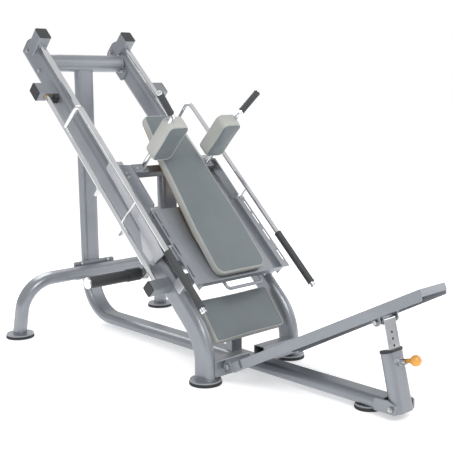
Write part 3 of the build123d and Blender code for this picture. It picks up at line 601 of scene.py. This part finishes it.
knobLow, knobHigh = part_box("pop_knob")
knobWay = Vector((0, -0.971755, 0.235992))
knobVerts = nodeVerts("pop_knob")
knobStart = min(vert.dot(knobWay) for vert in knobVerts)
knobEnd = max(vert.dot(knobWay) for vert in knobVerts)
knobMiddle = (Vector(knobLow) + Vector(knobHigh)) / 2
ballRadius = (knobHigh[0] - knobLow[0]) / 2
axisPoint = knobMiddle + knobWay * (knobEnd - ballRadius - knobMiddle.dot(knobWay))
axisPoint.x = 0
knobProfile = [(knobStart - axisPoint.dot(knobWay), 0.0055), (knobStart - axisPoint.dot(knobWay), 0.009),
               (-0.024, 0.009), (-0.0215, 0.0105)]
for step in range(3, 25):
    turn = math.pi * step / 25
    knobProfile.append((-ballRadius * math.cos(turn), ballRadius * math.sin(turn)))
knobProfile.append((ballRadius, 0.0006))
knob = turned("pop_knob_ball", axisPoint, knobWay, knobProfile, bodyOf("pop_knob"), "knob_orange", 56)
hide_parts("pop_knob")


# rubber feet

footWork = {"grooves": 3, "firstGroove": 0.004, "grooveEvery": 0.0028, "cutDeep": 0.0012}


def footClusters():
    places = []
    for vert in nodeVerts("rubber_feet"):
        for group in places:
            if (Vector((vert.x, vert.y)) - group[0]).length < 0.16:
                group[1].append(vert)
                break
        else:
            places.append((Vector((vert.x, vert.y)), [vert]))
    return [group for where, group in places]


for number, verts in enumerate(footClusters()):
    xs, ys, zs = zip(*((v.x, v.y, v.z) for v in verts))
    centre = Vector(((min(xs) + max(xs)) / 2, (min(ys) + max(ys)) / 2, 0))
    radius = (max(xs) - min(xs)) / 2
    height = max(zs)
    profile = [(0, radius * 0.86), (0.0012, radius - 0.001), (0.0025, radius)]
    for groove in range(footWork["grooves"]):
        base = footWork["firstGroove"] + groove * footWork["grooveEvery"]
        profile += [(base, radius - 0.0002), (base + 0.0007, radius - footWork["cutDeep"]),
                    (base + 0.0014, radius - 0.0002)]
    profile += [(height - 0.0015, radius - 0.001), (height, radius - 0.003), (height, radius * 0.5)]
    foot = turned("rubber_foot_%d" % number, centre, Vector((0, 0, 1)), profile, "frame", "rubber", 72)
    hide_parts("rubber_feet")
print("feet turned")


# weld beads

weldWork = {
    "radius": 0.0032, "ripple": 0.0006,
    "legReach": 0.25, "legPlace": -0.191, "legHeight": 0.0212, "legHalfLong": 0.0505, "legHalfThin": 0.0255,
    "barPlace": 0.980, "barHeight": 1.322, "barRadius": 0.0425, "barReach": 0.2165,
    "postRadius": 0.0252, "postStraight": 0.025, "saddleRadius": 0.0424,
}


def ovalRing(centre, halfLong, halfThin, longWay, thinWay, count=72):
    points = []
    straight = halfLong - halfThin
    for step in range(count):
        turn = 2 * math.pi * step / count
        shift = straight if math.cos(turn) >= 0 else -straight
        ripple = 1 + weldWork["ripple"] / halfThin * math.sin(step * 2.4)
        points.append(centre + longWay * (shift + halfThin * ripple * math.cos(turn))
                      + thinWay * halfThin * ripple * math.sin(turn))
    return points


sideways, forward = Vector((1, 0, 0)), Vector((0, 1, 0))
for sign in (-1, 1):
    legFoot = Vector((weldWork["legReach"] * sign, weldWork["legPlace"], weldWork["legHeight"]))
    bead("leg_weld_%d" % sign,
         ovalRing(legFoot, weldWork["legHalfLong"], weldWork["legHalfThin"], forward, sideways),
         weldWork["radius"], "frame", "frame_paint")
    ring = []
    for step in range(48):
        turn = step * math.pi / 24
        ring.append(Vector((sign * weldWork["barReach"],
                            weldWork["barPlace"] + weldWork["barRadius"] * math.cos(turn),
                            weldWork["barHeight"] + weldWork["barRadius"] * math.sin(turn))))
    bead("crossbar_weld_%d" % sign, ring, weldWork["radius"], "frame", "frame_paint")

# the post's oval end meets the round crossbar along a saddle
saddle = []
for step in range(72):
    turn = 2 * math.pi * step / 72
    shift = weldWork["postStraight"] if math.cos(turn) >= 0 else -weldWork["postStraight"]
    y = weldWork["postRadius"] * math.sin(turn)
    drop = math.sqrt(weldWork["saddleRadius"] ** 2 - y * y)
    saddle.append(Vector((shift + weldWork["postRadius"] * math.cos(turn), weldWork["barPlace"] + y,
                          weldWork["barHeight"] - drop)))
bead("post_weld", saddle, weldWork["radius"], "frame", "frame_paint")
print("welds laid")


# room, light and camera

floorLook = {"size": 60, "glow": 0.42}
bm = bmesh.new()
bmesh.ops.create_grid(bm, x_segments=2, y_segments=2, size=floorLook["size"])
floorMesh = bpy.data.meshes.new("studioFloor")
bm.to_mesh(floorMesh)
bm.free()
floor = bpy.data.objects.new("studioFloor", floorMesh)
bpy.context.collection.objects.link(floor)
floorPaint = makeFinish("paleFloor", {"grain": 40, "blotch": 0.6, "dark": (0.93, 0.93, 0.93),
                                      "light": (0.96, 0.96, 0.96), "roughness": (0.75, 0.9),
                                      "relief": 0.02, "dust": 0.0, "rub": 0.0, "fleck": 0.05})
floorShader = floorPaint.node_tree.nodes["Principled BSDF"]
floorShader.inputs["Emission Color"].default_value = (1, 1, 1, 1)
floorShader.inputs["Emission Strength"].default_value = floorLook["glow"]
floorMesh.materials.append(floorPaint)

world = bpy.data.worlds.new("studioAir")
bpy.context.scene.world = world
world.use_nodes = True
air = world.node_tree
sky = air.nodes["Background"]
sky.inputs["Strength"].default_value = 1.0
aim = air.nodes.new("ShaderNodeTexCoord")
parts = air.nodes.new("ShaderNodeSeparateXYZ")
ramp = air.nodes.new("ShaderNodeValToRGB")
ramp.color_ramp.elements[0].position = 0.35
ramp.color_ramp.elements[0].color = (0.22, 0.23, 0.25, 1)
ramp.color_ramp.elements[1].position = 0.62
ramp.color_ramp.elements[1].color = (0.68, 0.68, 0.69, 1)
half = air.nodes.new("ShaderNodeMapRange")
half.inputs["From Min"].default_value = -1
path = air.nodes.new("ShaderNodeLightPath")
seen = air.nodes.new("ShaderNodeMix")
seen.data_type = "RGBA"
seen.inputs["B"].default_value = (1, 1, 1, 1)
air.links.new(aim.outputs["Generated"], parts.inputs[0])
air.links.new(parts.outputs["Z"], half.inputs["Value"])
air.links.new(half.outputs["Result"], ramp.inputs["Fac"])
air.links.new(path.outputs["Is Camera Ray"], seen.inputs["Factor"])
air.links.new(ramp.outputs["Color"], seen.inputs["A"])
air.links.new(seen.outputs["Result"], sky.inputs["Color"])

lampWork = {
    "key": {"place": (-2.2, -3.4, 4.2), "size": 2.6, "power": 118},
    "fill": {"place": (3.6, -2.2, 2.6), "size": 3.0, "power": 34},
    "rim": {"place": (0.6, 3.6, 3.6), "size": 2.4, "power": 62},
}
for lampName, lamp in lampWork.items():
    light = bpy.data.lights.new(lampName, "AREA")
    light.size = lamp["size"]
    light.energy = lamp["power"]
    holder = bpy.data.objects.new(lampName, light)
    holder.location = lamp["place"]
    aimWay = Vector((0, 0, 0.6)) - Vector(lamp["place"])
    holder.rotation_euler = aimWay.to_track_quat("-Z", "Y").to_euler()
    bpy.context.collection.objects.link(holder)

shot = {"place": (-2.4757, -2.7218, 1.1711), "azimuth": -42.91, "down": 8.84, "roll": -0.718, "lens": 68.54}


def setCamera():
    turn, tip, roll = (math.radians(shot[key]) for key in ("azimuth", "down", "roll"))
    ahead = Vector((-math.sin(turn) * math.cos(tip), math.cos(turn) * math.cos(tip), -math.sin(tip)))
    flat = Vector((math.cos(turn), math.sin(turn), 0))
    up = flat.cross(ahead)
    right = flat * math.cos(roll) + up * math.sin(roll)
    up = right.cross(ahead)
    data = bpy.data.cameras.new("shot")
    data.lens = shot["lens"]
    data.sensor_width = 36
    camera = bpy.data.objects.new("shot", data)
    camera.matrix_world = Matrix.Translation(shot["place"]) @ Matrix(
        (right, up, -ahead)).transposed().to_4x4()
    bpy.context.collection.objects.link(camera)
    bpy.context.scene.camera = camera


setCamera()
bpy.context.scene.view_settings.view_transform = "Standard"
bpy.context.view_layer.update()
